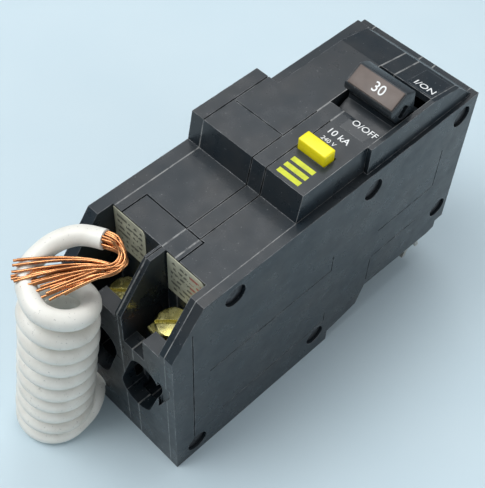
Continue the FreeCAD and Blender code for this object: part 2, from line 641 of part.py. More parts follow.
# --------------------------------------------------------------------------- handle
HANDLE_SPAN = ("near_cover + handle_gap", "pole_seam - handle_gap")
shutter = doc.addObject("Part::Cylinder", "shutter")
shutter.setExpression("Radius", bind("drum_radius"))
shutter.setExpression("Height", bind("pole_seam - near_cover - 2 * handle_gap"))
shutter.setExpression("Angle", bind("shutter_angle"))
shutter.Placement = Placement(Vector(), Rotation(Vector(1, 0, 0), 90)
                              * Rotation(Vector(0, 0, 1), 90 - value("shutter_angle") / 2))
place(shutter, "pivot_x", HANDLE_SPAN[1], "pivot_z")
shell = cut("shutter_shell", shutter, [rod("shutter_inside", "Y", "drum_radius - drum_wall", ACROSS,
                                           x="pivot_x", z="pivot_z")])
CREST = "pivot_z + drum_radius"
paddle = prism("handle_paddle", "XZ", [
    ("pivot_x - 1.6", "pivot_z"),
    ("pivot_x + 1.6", "pivot_z"),
    ("pivot_x + 1.6", CREST + " - drum_wall"),
    ("pivot_x + 4.2", CREST + " - drum_wall"),
    ("pivot_x + 3.0", CREST + " + 2.4"),
    ("pivot_x + 2.4", CREST + " + paddle_height - 1.6"),
    ("pivot_x - 1.0", CREST + " + paddle_height"),
    ("pivot_x - 5.6", CREST + " + paddle_height - 2.8"),
    ("pivot_x - 5.6", CREST + " + paddle_height - 4.6"),
    ("pivot_x - 3.0", CREST + " + 1.0"),
    ("pivot_x - 3.6", CREST + " - drum_wall"),
    ("pivot_x - 1.6", CREST + " - drum_wall"),
], HANDLE_SPAN)
hub = rod("handle_hub", "Y", "hub_radius", HANDLE_SPAN, x="pivot_x", z="pivot_z")
blind_end = [
    rod(f"handle_blind_{n}", "Y", "blind_radius", (HANDLE_SPAN[0], HANDLE_SPAN[0] + " + blind_depth"),
        x=f"pivot_x + {dx}", z=f"{CREST} + {dz}")
    for n, (dx, dz) in enumerate(((-0.2, 4.5), (-1.0, 3.4), (-1.8, 2.3)))
]
handle_bore = rod("handle_bore", "Y", "pin_radius + running_fit", ACROSS, x="pivot_x", z="pivot_z")
piece("handle", cut("handle_cut", fuse("handle_body", [shell, paddle, hub]),
                    [handle_bore, *blind_end]))

plate_edge = [("pivot_x - 1.0", CREST + " + paddle_height"),
              ("pivot_x - 5.6", CREST + " + paddle_height - 2.8")]
lifted = [(f"{x} - plate_thick * 0.52", f"{z} + plate_thick * 0.85") for x, z in plate_edge]
piece("handle_rating_plate", prism("rating_sheet", "XZ", plate_edge + lifted[::-1],
                                   (HANDLE_SPAN[0] + " + plate_margin",
                                    HANDLE_SPAN[1] + " - plate_margin")))
piece("handle_pin", rod("handle_pin_rod", "Y", "pin_radius", ("pin_cap", "pole_seam + wall"),
                        x="pivot_x", z="pivot_z"))
piece("arm_pin", rod("arm_pin_rod", "Y", "arm_pin_radius", ("pin_cap", "case_width - pin_cap"),
                     x="arm_x", z="arm_z"))
piece("cradle_pin", rod("cradle_pin_rod", "Y", "arm_pin_radius", ("pin_cap", "pole_seam + wall"),
                        x="cradle_x", z="cradle_z"))

# --------------------------------------------------------------------------- test button
BUTTON = ("button_x", "button_x + button_length")
BUTTON_Y = ("button_y", "button_y + button_width")
FLANGE_TOP = "block_top - wall"
piece("test_button", fuse("button_body", [
    box("button_cap", BUTTON, BUTTON_Y, (FLANGE_TOP, "block_top + button_height")),
    box("button_base", ("button_x - button_flange", "button_x + button_length + button_flange"),
        ("button_y - button_flange", "near_seam + button_flange"),
        (FLANGE_TOP + " - button_flange", FLANGE_TOP)),
]))
SPRING_TOP = FLANGE_TOP + " - button_flange"
piece("test_button_spring", cut(
    "spring_cut",
    rod("spring_body", "Z", "1.6", (SPRING_TOP + " - button_spring", SPRING_TOP),
        x="button_x + button_length / 2", y="near_pole_y"),
    [rod("spring_inside", "Z", "1.1", ("0", ABOVE),
         x="button_x + button_length / 2", y="near_pole_y")]))
piece("test_contact", box(
    "test_contact_leaf", ("button_x - 2", "button_x + button_length + 2"),
    ("near_cover + skin", NEAR_ROOM[1]),
    (SPRING_TOP + " - button_spring - 0.6", SPRING_TOP + " - button_spring")))

# --------------------------------------------------------------------------- mechanism
arms = [
    ("arm_x - 2", "arm_z + 2.2"),
    ("arm_x - 2", "arm_z - arm_reach / 2"),
    ("arm_x - 0.4", "arm_z - arm_reach"),
    ("arm_x + 2.4", "arm_z - arm_reach"),
    ("arm_x + 2.4", "arm_z - arm_reach / 2"),
    ("arm_x + 2", "arm_z + 2.2"),
]
for side, y in POLES.items():
    blade = prism(side + "_arm_blade", "XZ", arms,
                  (f"{y} - arm_width / 2", f"{y} + arm_width / 2"))
    contact = rod(side + "_arm_contact", "X", "contact_radius",
                  ("arm_x + 1", "contact_face_x - contact_gap"), y=y, z="arm_z - contact_drop")
    bore = rod(side + "_arm_bore", "Y", "arm_pin_radius + running_fit", ACROSS,
               x="arm_x", z="arm_z")
    piece(side + "_moving_arm", cut(side + "_arm_cut",
                                    fuse(side + "_arm_body", [blade, contact]), [bore]))

    jaw_y = JAWS[side]
    piece(side + "_line_strap", fuse(side + "_line_body", [
        box(side + "_line_bar", ("contact_face_x + 1", JAW_X + " + jaw_gap / 2 + jaw_thick + 0.1"),
            (f"{jaw_y} - strap_width / 2", f"{jaw_y} + strap_width / 2"),
            ("jaw_top", "jaw_top + jaw_thick")),
        box(side + "_line_upright", ("contact_face_x + 1", "contact_face_x + 1 + jaw_thick"),
            (f"{jaw_y} - strap_width / 2", f"{jaw_y} + strap_width / 2"),
            ("jaw_top", "arm_z - contact_drop + 2 * contact_radius")),
        rod(side + "_fixed_contact", "X", "contact_radius",
            ("contact_face_x", "contact_face_x + 1"), y=y, z="arm_z - contact_drop"),
    ]))

    half = "jaw_gap / 2"
    sides = [("jaw_flare", "jaw_bottom"), (half + " + jaw_thick", "jaw_throat"),
             (half + " + jaw_thick + 0.1", "jaw_top")]
    inner = [(half + " + 0.1", "jaw_top - jaw_thick"), (half, "jaw_throat"),
             ("jaw_flare - 1.3", "jaw_bottom")]
    right = [(f"{JAW_X} + {x}", z) for x, z in sides + inner]
    left = [(f"{JAW_X} - ({x})", z) for x, z in inner[::-1] + sides[::-1]]
    jaw = [right[0], right[1], right[2], left[3], left[4], left[5],
           left[0], left[1], left[2], right[3], right[4], right[5]]
    upper = box(side + "_jaw_upper", (JAW_X + " - 2 * jaw_flare", JAW_X + " + 2 * jaw_flare"),
                (f"{jaw_y} - jaw_width / 2", f"{jaw_y} + jaw_width / 2"), ("0", "jaw_top"))
    lower = box(side + "_jaw_lower", (JAW_X + " - 2 * jaw_flare", JAW_X + " + 2 * jaw_flare"),
                (f"{jaw_y} - lip_width / 2", f"{jaw_y} + lip_width / 2"),
                ("0", "jaw_throat - 0.5"))
    allowed = fuse(side + "_jaw_extent", [upper, lower])
    sheet_metal = prism(side + "_jaw_sheet", "XZ", jaw,
                        (f"{jaw_y} - lip_width / 2", f"{jaw_y} + lip_width / 2"))
    jaw_shape = doc.addObject("Part::Common", side + "_jaw_common")
    jaw_shape.Base = sheet_metal
    jaw_shape.Tool = allowed
    piece(side + "_line_jaw", jaw_shape)

    plates = [box(f"{side}_arc_plate_{n}", ("chute_x", "contact_face_x - 3"), ROOMS[side],
                  (f"chute_z + {n} * chute_pitch", f"chute_z + {n} * chute_pitch + 1"))
              for n in range(3)]
    piece(side + "_arc_plates", *plates)

    screw_y = SCREWS[side]
    piece(side + "_bimetal", box(
        side + "_bimetal_strip", ("strap_end_x - 1.2", "strap_end_x"),
        (f"{screw_y} - 3", f"{screw_y} + 3"), ("chamber_floor + 1", "strap_bottom")))
    yoke = box(side + "_yoke_block", ("strap_end_x", "strap_end_x + 5"),
               (f"{screw_y} - 4", f"{screw_y} + 4"), ("chamber_floor + 4", "chamber_floor + 16"))
    yoke_gap = box(side + "_yoke_gap", ("strap_end_x + 1.2", "strap_end_x + 6"),
                   (f"{screw_y} - 2.8", f"{screw_y} + 2.8"), ("0", ABOVE))
    piece(side + "_magnet_yoke", cut(side + "_yoke_cut", yoke, [yoke_gap]))

cradle = prism("cradle_plate", "XZ", [
    ("cradle_x - 2.4", "cradle_z + 2"), ("cradle_x + 2", "cradle_z + 2.2"),
    ("cradle_x + 9", "cradle_z - 5"), ("cradle_x + 8", "cradle_z - 8"),
    ("cradle_x + 1", "cradle_z - 3.5"), ("cradle_x - 4.6", "cradle_z - 13"),
    ("cradle_x - 7.2", "cradle_z - 13"), ("cradle_x - 7.2", "cradle_z - 11.5"),
], ("near_pole_y - cradle_width / 2", "near_pole_y + cradle_width / 2"))
piece("cradle", cut("cradle_cut", cradle, [
    rod("cradle_bore", "Y", "arm_pin_radius + running_fit", ACROSS, x="cradle_x", z="cradle_z")]))

near_paddle = box("near_trip_paddle", ("trip_x - 0.8", "trip_x + 0.8"),
                  ("near_pole_y - paddle_width / 2", "near_pole_y + paddle_width / 2"),
                  ("trip_z", "trip_z + 10"))
far_paddle = box("far_trip_paddle", ("trip_x - 0.8", "trip_x + 0.8"),
                 ("far_pole_y - paddle_width / 2", "far_pole_y + paddle_width / 2"),
                 ("coil_z - 3", "trip_z"))
piece("trip_bar", fuse("trip_bar_body", [
    rod("trip_bar_rod", "Y", "trip_radius", ("pin_cap + running_fit", "case_width - pin_cap - running_fit"),
        x="trip_x", z="trip_z"), near_paddle, far_paddle]))

# --------------------------------------------------------------------------- electronics
BOARD_FACE = "case_width - wall - board_thick"
piece("circuit_board", cut("board_cut", box(
    "board_sheet", ("board_x", "board_x + board_length"), (BOARD_FACE, "case_width - wall"),
    ("board_bottom", "board_bottom + board_height")),
    [rod("board_trip_hole", "Y", "trip_radius + 4 * running_fit", ACROSS, x="trip_x", z="trip_z")]))
winding = rod("winding", "X", "coil_radius", ("coil_x + 1", "coil_x + coil_length - 1"),
              y="far_pole_y + 1", z="coil_z")
coil_hole = rod("coil_hole", "X", "plunger_radius + running_fit", ("coil_x - 1", "coil_x + coil_length + 1"),
                y="far_pole_y + 1", z="coil_z")
cheek_span = ("far_pole_y + 1 - coil_radius - 0.6", BOARD_FACE)
cheeks = [box(f"solenoid_cheek_{n}", span, cheek_span, ("coil_z - coil_radius - 0.4", "coil_z + coil_radius + 0.4"))
          for n, span in enumerate((("coil_x", "coil_x + 1"),
                                    ("coil_x + coil_length - 1", "coil_x + coil_length")))]
cheek_back = box("solenoid_back", ("coil_x", "coil_x + coil_length"),
                 ("far_pole_y + 1 + coil_radius", BOARD_FACE),
                 ("coil_z - coil_radius - 0.4", "coil_z + coil_radius + 0.4"))
piece("solenoid_frame", cut("solenoid_frame_cut", fuse("solenoid_frame_body", cheeks + [cheek_back]),
                            [coil_hole]))
piece("solenoid_winding", cut("solenoid_winding_cut", winding, [coil_hole]))
piece("solenoid_plunger", rod("plunger_rod", "X", "plunger_radius",
                              ("trip_x + 1.2", "coil_x + coil_length - 3"),
                              y="far_pole_y + 1", z="coil_z"))
piece("sensing_transformer", turned("sensor_ring", [
    ("sensor_bore", "0"), ("sensor_radius", "0"), ("sensor_radius", "sensor_width"),
    ("sensor_bore", "sensor_width"),
], x="sensor_x", y=BOARD_FACE, z="sensor_z", turn=Rotation(Vector(1, 0, 0), 90)))
piece("surge_varistor", turned("varistor_disc", [
    ("0", "0"), ("3.6", "0"), ("3.6", "3.4"), ("0", "3.4"),
], x="board_x + 22.6", y=BOARD_FACE, z="board_bottom + 5", turn=Rotation(Vector(1, 0, 0), 90)))
piece("control_chip", box("chip_block", ("board_x + 4", "board_x + 14"),
                          (BOARD_FACE + " - 2.5", BOARD_FACE), ("board_bottom + 24", "board_bottom + 31")))
piece("filter_capacitor", turned("capacitor_can", [
    ("0", "0"), ("2.6", "0"), ("2.6", "7"), ("0", "7"),
], x="board_x + 20", y=BOARD_FACE, z="board_bottom + 28", turn=Rotation(Vector(1, 0, 0), 90)))

# --------------------------------------------------------------------------- pigtail
def tube(points, radius):
    """A round tube along straight runs joined by tangent arcs, each as large as its runs allow."""
    count = len(points)
    edges = []
    start = points[0]
    for index in range(1, count - 1):
        before = (points[index - 1] - points[index]).normalize()
        after = (points[index + 1] - points[index]).normalize()
        run = min((points[index - 1] - points[index]).Length, (points[index + 1] - points[index]).Length)
        half_turn = (math.pi - before.getAngle(after)) / 2
        back = 0.45 * run
        bend = back / math.tan(half_turn)
        middle = (before + after).normalize()
        centre = points[index] + middle * math.hypot(back, bend)
        enter = points[index] + before * back
        leave = points[index] + after * back
        edges.append(Part.LineSegment(start, enter).toShape())
        edges.append(Part.Arc(enter, centre - middle * bend, leave).toShape())
        print("bend radius", round(bend, 2), "turn", round(math.degrees(2 * half_turn), 1))
        start = leave
    edges.append(Part.LineSegment(start, points[-1]).toShape())
    path = Part.Wire(edges)
    circle = Part.Circle(points[0], points[1] - points[0], radius)
    solid = path.makePipeShell([Part.Wire(circle.toShape())], True, False)
    print("tube volume ratio", round(solid.Volume / (math.pi * radius ** 2 * path.Length), 4),
          "length", round(path.Length, 1))
    return solid


def formed(name, shape):
    """A shape made by Part's own functions, placed like every other piece."""
    item = doc.addObject("Part::Feature", name + "_form")
    item.Shape = shape
    piece(name, item)


wire = value("wire_radius")
turn = value("turn_radius")
gland = Vector(0, value("gland_y"), value("gland_z"))
base = Vector(value("coil_base_x"), value("coil_base_y"), 0)
tall = value("coil_height")
lean = Vector(value("coil_lean_x"), value("coil_lean_y"), tall)
crown = base + lean

top_turn = value("top_turn_radius")
up = Vector(0, 0, 1)
cones = [Part.makeLoft([Part.Wire(Part.Circle(base, up, turn + side * wire).toShape()),
                        Part.Wire(Part.Circle(crown, up, top_turn + side * wire).toShape())], True)
         for side in (1, -1)]
formed("pigtail_coil", cones[0].cut(cones[1]))

LEAD = [
    Vector(value("gland_depth"), gland.y, gland.z),
    Vector(-4.0, gland.y, gland.z),
    Vector(-9.6, gland.y - 4.2, gland.z - 2.4),
    base + Vector(-2.6, -turn + 0.3, wire + 0.4),
]
formed("pigtail_lead", tube(LEAD, wire))
LOOP = [
    crown + Vector(-5.4, -3.9, wire + 0.15),
    crown + Vector(-6.6, 0.5, wire + 0.25),
    crown + Vector(-5.2, 5.5, wire + 0.85),
    crown + Vector(-1.2, 8.9, wire + 1.95),
    crown + Vector(4.3, 8.9, wire + 3.35),
    crown + Vector(9.6, 6.5, wire + 4.25),
    crown + Vector(12.0, 3.3, wire + 4.85),
    crown + Vector(13.3, 0.0, wire + 4.95),
]
formed("pigtail_top_loop", tube(LOOP, wire))

tip = LOOP[-1]
ahead = (LOOP[-1] - LOOP[-2]).normalize()
across_way = ahead.cross(Vector(0, 0, 1)).normalize()
FAN = [
    # across, rise, then the middle and the end of the strand from its foot
    (-1.8, 0.38, (-5.9, -0.8, 0.2), (-18.3, 7.1, 1.0)),
    (-0.9, -1.90, (-6.6, -1.8, -0.4), (-19.0, 5.2, 1.4)),
    (0.0, 1.90, (-7.2, -2.6, -0.8), (-19.4, 3.2, -1.0)),
    (0.4, -0.38, (-7.6, -3.6, -1.2), (-18.4, 0.9, -0.6)),
    (1.2, -1.15, (-8.0, -4.7, -1.7), (-16.8, -1.5, 0.0)),
    (1.7, 1.15, (-8.3, -5.7, -2.2), (-15.1, -4.0, -3.2)),
]
strands = []
for across, rise, middle, end in FAN:
    foot = tip + across_way * across + Vector(0, 0, rise) + ahead * 0.1
    strands.append(tube([
        foot,
        foot + ahead * 3.2,
        foot + Vector(-2.0, -5.4, -0.3),
        foot + Vector(*middle),
        foot + Vector(*end),
    ], value("strand_radius")))
formed("pigtail_strands", Part.makeCompound(strands))

# --------------------------------------------------------------------------- write the pieces
doc.recompute()
for item in doc.Objects:
    if "Invalid" in item.State or "Error" in item.State:
        raise RuntimeError(f"{item.Name} failed: {item.State}")
os.makedirs("parts", exist_ok=True)
for name, item in nodes.items():
    if item.Shape.isNull() or not item.Shape.isValid() or item.Shape.Volume <= 0:
        raise RuntimeError(f"{name} has no valid shape")
    item.Shape.exportStep(f"parts/{name}.step")
    box_size = item.Shape.BoundBox
    print(f"{name:24s} solids {len(item.Shape.Solids):2d} volume {item.Shape.Volume:9.1f} "
          f"x {box_size.XMin:6.1f} {box_size.XMax:6.1f} y {box_size.YMin:6.1f} {box_size.YMax:6.1f} "
          f"z {box_size.ZMin:6.1f} {box_size.ZMax:6.1f}")
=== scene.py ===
import json
import math

import bpy
from bpy.props import FloatProperty, FloatVectorProperty, IntProperty, PointerProperty
from mathutils import Matrix, Vector


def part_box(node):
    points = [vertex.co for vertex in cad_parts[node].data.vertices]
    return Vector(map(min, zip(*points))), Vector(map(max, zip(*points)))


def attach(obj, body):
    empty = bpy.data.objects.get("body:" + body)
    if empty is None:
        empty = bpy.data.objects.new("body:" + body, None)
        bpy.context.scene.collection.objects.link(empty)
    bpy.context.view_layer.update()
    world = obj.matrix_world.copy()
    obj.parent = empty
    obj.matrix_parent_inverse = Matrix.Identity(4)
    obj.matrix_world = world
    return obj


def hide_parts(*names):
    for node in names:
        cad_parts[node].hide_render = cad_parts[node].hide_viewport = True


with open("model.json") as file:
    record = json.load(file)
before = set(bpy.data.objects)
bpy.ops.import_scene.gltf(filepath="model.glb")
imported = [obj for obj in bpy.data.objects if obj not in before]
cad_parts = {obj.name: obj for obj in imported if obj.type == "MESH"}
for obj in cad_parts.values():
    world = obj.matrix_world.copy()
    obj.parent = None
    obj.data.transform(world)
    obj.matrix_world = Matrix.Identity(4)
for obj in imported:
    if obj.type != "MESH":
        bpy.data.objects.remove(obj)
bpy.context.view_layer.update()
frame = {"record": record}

bl_info = {
    "name": "Ground-fault breaker finishes",
    "version": (1, 0, 0),
    "blender": (4, 5, 0),
    "location": "View3D > Sidebar > Breaker",
    "description": "Finishes, pigtail, printing and stage for a two-pole ground-fault breaker",
    "category": "Object",
}

MM = 0.001
UP = Vector((0, 0, 1))


# ------------------------------------------------------------------ places taken from the frame
def node_box(name):
    """Lowest and highest corner of a sub-component, as vectors."""
    low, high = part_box(name)
    return Vector(low), Vector(high)


COVER_LOW = node_box("near_side_cover")[0]
CORNER = Vector((COVER_LOW.x, COVER_LOW.y, 0.0))

# millimetres from the corner
BLOCK_TOP = 72.0
LINE_SLOPE_START = 85.4
LINE_SLOPE = Vector((10.2, 0, -2.0)).normalized()
HANDLE_X = 76.5
HANDLE_CREST = 70.6
GLAND_Y, GLAND_Z = 30.2, 7.2


def at(x, y, z):
    """A place in millimetres from the load end, the near side and the mounting face."""
    return CORNER + Vector((x, y, z)) * MM


# ------------------------------------------------------------------ what a user would change
class PigtailSizes(bpy.types.PropertyGroup):
    diameter: FloatProperty(name="Wire diameter", description="Outside of the insulation",
                            default=4.8 * MM, unit="LENGTH")
    turn_radius: FloatProperty(name="Turn radius", description="Middle of the coil's first turn",
                               default=8.0 * MM, unit="LENGTH")
    top_radius: FloatProperty(name="Top radius", description="Middle of the coil's last turn",
                              default=6.95 * MM, unit="LENGTH")
    pitch: FloatProperty(name="Pitch", description="Rise of each turn", default=5.95 * MM,
                         unit="LENGTH")
    turns: FloatProperty(name="Turns", description="Turns in the standing coil", default=9.3)
    strands: IntProperty(name="Strands", description="Bare copper strands at the end", default=26)
    strand_radius: FloatProperty(name="Strand radius", description="Radius of one strand",
                                 default=0.31 * MM, unit="LENGTH")


class Finishes(bpy.types.PropertyGroup):
    moulding: FloatVectorProperty(name="Moulding", description="Colour of the black mouldings",
                                  default=(0.0115, 0.0185, 0.0245), subtype="COLOR")
    worn: FloatVectorProperty(name="Worn edge", description="Colour of rubbed corners",
                              default=(0.30, 0.31, 0.32), subtype="COLOR")
    button: FloatVectorProperty(name="Button", description="Colour of the test button",
                                default=(0.86, 0.74, 0.006), subtype="COLOR")
    plate: FloatVectorProperty(name="Rating plate", description="Colour of the handle's plate",
                               default=(0.105, 0.078, 0.065), subtype="COLOR")
    sleeve: FloatVectorProperty(name="Sleeve", description="Colour of the pigtail's insulation",
                                default=(0.74, 0.735, 0.68), subtype="COLOR")
    copper: FloatVectorProperty(name="Copper", description="Colour of the bare strands",
                                default=(0.60, 0.29, 0.13), subtype="COLOR")
    print_white: FloatVectorProperty(name="Print", description="Colour of the printed marks",
                                     default=(0.80, 0.82, 0.82), subtype="COLOR")
    patch: FloatVectorProperty(name="Patch", description="Colour of the printed stripes",
                               default=(0.55, 0.60, 0.02), subtype="COLOR")
    card: FloatVectorProperty(name="Card", description="Colour of the terminal labels",
                              default=(0.50, 0.50, 0.38), subtype="COLOR")


class StageSizes(bpy.types.PropertyGroup):
    lens: FloatProperty(name="Lens", description="Focal length over a 36 mm sensor",
                        default=71.84, min=1.0)
    floor_size: FloatProperty(name="Floor", description="Side of the floor", default=3.0,
                              unit="LENGTH")
    fill: FloatProperty(name="Fill", description="Strength of the surroundings", default=0.32)


# ------------------------------------------------------------------ small helpers
def clear_selection():
    if bpy.context.object and bpy.context.object.mode != "OBJECT":
        bpy.ops.object.mode_set(mode="OBJECT")
    bpy.ops.object.select_all(action="DESELECT")


def fresh(name):
    """Name the object that an operator has just added."""
    piece = bpy.context.active_object
    piece.name = name
    piece.data.name = name
    return piece


def settle(piece):
    """Bake place, turn and size into the mesh, so that the object sits at the origin."""
    clear_selection()
    piece.select_set(True)
    bpy.context.view_layer.objects.active = piece
    bpy.ops.object.transform_apply(location=True, rotation=True, scale=True)
    return piece


def apply_modifiers(piece):
    clear_selection()
    piece.select_set(True)
    bpy.context.view_layer.objects.active = piece
    for modifier in list(piece.modifiers):
        bpy.ops.object.modifier_apply(modifier=modifier.name)
    return piece


def soften(piece, width, segments=3, angle=30):
    """Round the edges of a moulded piece and shade it smooth."""
    bevel = piece.modifiers.new("Rounded edges", "BEVEL")
    bevel.width = width
    bevel.segments = segments
    bevel.limit_method = "ANGLE"
    bevel.angle_limit = math.radians(angle)
    apply_modifiers(piece)
    bpy.ops.object.shade_smooth_by_angle(angle=math.radians(40))
    return piece


def block(name, low, high, width=0.0, segments=3):
    """A moulded block between two corners."""
    clear_selection()
    bpy.ops.mesh.primitive_cube_add(size=1.0, location=(low + high) / 2)
    piece = fresh(name)
    piece.scale = high - low
    settle(piece)
    return soften(piece, width, segments) if width else piece


def profile(name, points, near_y, far_y, width=0.0, segments=3):
    """An (x, z) outline filled and extruded from near_y to far_y, with rounded edges."""
    clear_selection()
    bpy.ops.mesh.primitive_circle_add(vertices=len(points), radius=0.01, fill_type="NGON")
    piece = fresh(name)
    for vertex, (x, z) in zip(piece.data.vertices, points):
        vertex.co = (x, near_y, z)
    bpy.ops.object.mode_set(mode="EDIT")
    bpy.ops.mesh.select_all(action="SELECT")
    bpy.ops.mesh.extrude_region_move(TRANSFORM_OT_translate={"value": (0, far_y - near_y, 0)})
    bpy.ops.mesh.select_all(action="SELECT")
    bpy.ops.mesh.normals_make_consistent(inside=False)
    bpy.ops.object.mode_set(mode="OBJECT")
    return soften(piece, width, segments) if width else piece


def rounded_card(name, low, high, radius, steps=6):
    """A thin sheet across X whose near corners are round."""
    clear_selection()
    corners = [(low.y + radius, low.z + radius, 270), (low.y + radius, high.z - radius, 180)]
    outline = [(high.y, high.z), (high.y, low.z)]
    for y, z, start in corners:
        for step in range(steps + 1):
            turn = math.radians(start - 90 * step / steps)
            outline.append((y + radius * math.cos(turn), z + radius * math.sin(turn)))
    bpy.ops.mesh.primitive_circle_add(vertices=len(outline), radius=0.01, fill_type="NGON")
    piece = fresh(name)
    for vertex, (y, z) in zip(piece.data.vertices, outline):
        vertex.co = (low.x, y, z)
    bpy.ops.object.mode_set(mode="EDIT")
    bpy.ops.mesh.select_all(action="SELECT")
    bpy.ops.mesh.extrude_region_move(TRANSFORM_OT_translate={"value": (high.x - low.x, 0, 0)})
    bpy.ops.mesh.select_all(action="SELECT")
    bpy.ops.mesh.normals_make_consistent(inside=False)
    bpy.ops.object.mode_set(mode="OBJECT")
    return piece


def carve(piece, cutter):
    """Take one closed shape out of another."""
    boolean = piece.modifiers.new("Cut", "BOOLEAN")
    boolean.operation = "DIFFERENCE"
    boolean.solver = "EXACT"
    boolean.object = cutter
    apply_modifiers(piece)
    bpy.data.objects.remove(cutter)
    return piece


def join(name, pieces):
    clear_selection()
    for piece in pieces:
        piece.select_set(True)
    bpy.context.view_layer.objects.active = pieces[0]
    bpy.ops.object.join()
    return fresh(name)


def finish_with(piece, material, body):
    """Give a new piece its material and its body."""
    piece.data.materials.clear()
    piece.data.materials.append(material)
    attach(piece, body)
    return piece


def wire(name, paths, radius, order, resolution, roundness):
    """Round wires along lists of control points, as one curve piece."""
    data = bpy.data.curves.new(name, "CURVE")
    data.dimensions = "3D"
    data.bevel_depth = radius
    data.bevel_resolution = roundness
    data.use_fill_caps = True
    for path in paths:
        spline = data.splines.new("NURBS")
        spline.points.add(len(path) - 1)
        for knot, place in zip(spline.points, path):
            knot.co = (*place, 1.0)
        spline.order_u = order
        spline.use_endpoint_u = True
        spline.resolution_u = resolution
    piece = bpy.data.objects.new(name, data)
    bpy.context.collection.objects.link(piece)
    return piece


# ------------------------------------------------------------------ materials
class Surface:
    """A material with a Principled shader and short words for the nodes round it."""

    def __init__(self, name, roughness=0.5, metallic=0.0, coat=0.0):
        self.material = bpy.data.materials.new(name)
        self.material.use_nodes = True
        self.nodes = self.material.node_tree.nodes
        self.links = self.material.node_tree.links
        self.shader = self.nodes["Principled BSDF"]
        self.shader.inputs["Roughness"].default_value = roughness
        self.shader.inputs["Metallic"].default_value = metallic
        self.shader.inputs["Coat Weight"].default_value = coat
        self.place = self.nodes.new("ShaderNodeTexCoord").outputs["Object"]

    def colour(self, value):
        if isinstance(value, (tuple, list)) or hasattr(value, "hsv"):
            self.shader.inputs["Base Color"].default_value = (*value, 1.0)
        else:
            self.links.new(value, self.shader.inputs["Base Color"])

    def noise(self, scale, detail=3.0, rough=0.55, stretch=None):
        """A noise value in the piece's own space; scale is features per metre."""
        source = self.place
        if stretch:
            mapping = self.nodes.new("ShaderNodeMapping")
            mapping.inputs["Scale"].default_value = stretch
            self.links.new(source, mapping.inputs["Vector"])
            source = mapping.outputs["Vector"]
        noise = self.nodes.new("ShaderNodeTexNoise")
        noise.inputs["Scale"].default_value = scale
        noise.inputs["Detail"].default_value = detail
        noise.inputs["Roughness"].default_value = rough
        self.links.new(source, noise.inputs["Vector"])
        return noise.outputs["Fac"]

    def ramp(self, value, *stops):
        """Turn a value into greys or colours at the given (position, colour) stops."""
        ramp = self.nodes.new("ShaderNodeValToRGB")
        elements = ramp.color_ramp.elements
        while len(elements) < len(stops):
            elements.new(0.5)
        for element, (position, tone) in zip(elements, stops):
            element.position = position
            element.color = (*tone, 1.0) if hasattr(tone, "__len__") else (tone, tone, tone, 1.0)
        self.links.new(value, ramp.inputs["Fac"])
        return ramp.outputs["Color"]

    def blend(self, factor, first, second):
        mix = self.nodes.new("ShaderNodeMix")
        mix.data_type = "RGBA"
        self.links.new(factor, mix.inputs["Factor"])
        for index, value in ((6, first), (7, second)):
            if hasattr(value, "is_output"):
                self.links.new(value, mix.inputs[index])
            else:
                mix.inputs[index].default_value = (*value, 1.0)
        return mix.outputs[2]

    def product(self, first, second):
        return self.maths("MULTIPLY", first, second)

    def axis(self, letter):
        """One object coordinate as a value."""
        split = self.nodes.new("ShaderNodeSeparateXYZ")
        self.links.new(self.place, split.inputs["Vector"])
        return split.outputs[letter]

    def maths(self, operation, first, second=0.0):
        node = self.nodes.new("ShaderNodeMath")
        node.operation = operation
        for index, value in enumerate((first, second)):
            if hasattr(value, "is_output"):
                self.links.new(value, node.inputs[index])
            else:
                node.inputs[index].default_value = value
        return node.outputs["Value"]

    def line(self, letter, centre, width):
        """1 within half a width of one place along an axis."""
        away = self.maths("ABSOLUTE", self.maths("SUBTRACT", self.axis(letter), centre))
        return self.maths("LESS_THAN", away, width / 2)

    def facing(self, letter):
        """1 on faces that don't look along an axis."""
        split = self.nodes.new("ShaderNodeSeparateXYZ")
        geometry = self.nodes.new("ShaderNodeNewGeometry")
        self.links.new(geometry.outputs["True Normal"], split.inputs["Vector"])
        return self.maths("LESS_THAN", self.maths("ABSOLUTE", split.outputs[letter]), 0.5)

    def worn_edges(self, width, low, high):
        """1 along outside corners: how far a rounded normal leaves the true one."""
        bevel = self.nodes.new("ShaderNodeBevel")
        bevel.samples = 6
        bevel.inputs["Radius"].default_value = width
        geometry = self.nodes.new("ShaderNodeNewGeometry")
        dot = self.nodes.new("ShaderNodeVectorMath")
        dot.operation = "DOT_PRODUCT"
        self.links.new(bevel.outputs["Normal"], dot.inputs[0])
        self.links.new(geometry.outputs["Normal"], dot.inputs[1])
        return self.ramp(dot.outputs["Value"], (low, 1.0), (high, 0.0))

    def rounded(self, width, height=None, strength=0.3, distance=0.0002):
        """Round every edge in the shading and add fine relief from a height value."""
        bevel = self.nodes.new("ShaderNodeBevel")
        bevel.samples = 6
        bevel.inputs["Radius"].default_value = width
        normal = bevel.outputs["Normal"]
        if height is not None:
            bump = self.nodes.new("ShaderNodeBump")
            bump.inputs["Strength"].default_value = strength
            bump.inputs["Distance"].default_value = distance
            self.links.new(height, bump.inputs["Height"])
            self.links.new(normal, bump.inputs["Normal"])
            normal = bump.outputs["Normal"]
        self.links.new(normal, self.shader.inputs["Normal"])

    def roughness(self, value):
        self.links.new(value, self.shader.inputs["Roughness"])


